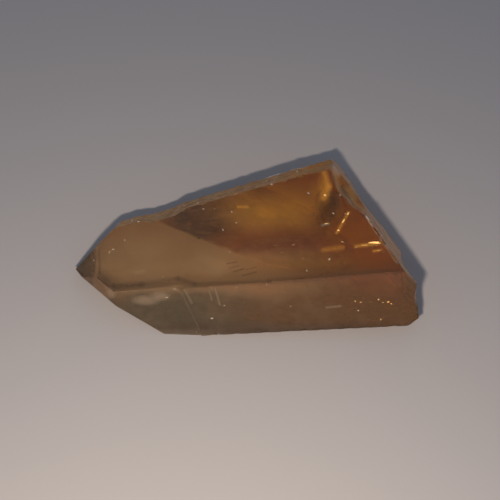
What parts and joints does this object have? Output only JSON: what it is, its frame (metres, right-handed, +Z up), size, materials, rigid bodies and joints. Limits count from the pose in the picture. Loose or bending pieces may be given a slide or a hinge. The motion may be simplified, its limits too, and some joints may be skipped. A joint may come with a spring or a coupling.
{
  "type": "citrine crystal point",
  "caption": "Broken quartz crystal point, smoky honey-coloured and clear, lying flat: prism and pyramid faces, a frosted crust along the back and a shell-shaped break at the end",
  "frame": {"origin": "centre of the bounding box's base, on the surface that the crystal lies on", "axes": "+X from the point towards the broken end along the length, +Y towards the frosted crust, +Z up"},
  "size_m": [0.0798, 0.0418, 0.0185],
  "materials": {
    "citrine": "clear smoky honey-coloured quartz, glossy grown faces, frosted crust and glassy shell-shaped breaks"
  },
  "bodies": {
    "root": {"citrine_crystal": "citrine"}
  },
  "joints": []
}
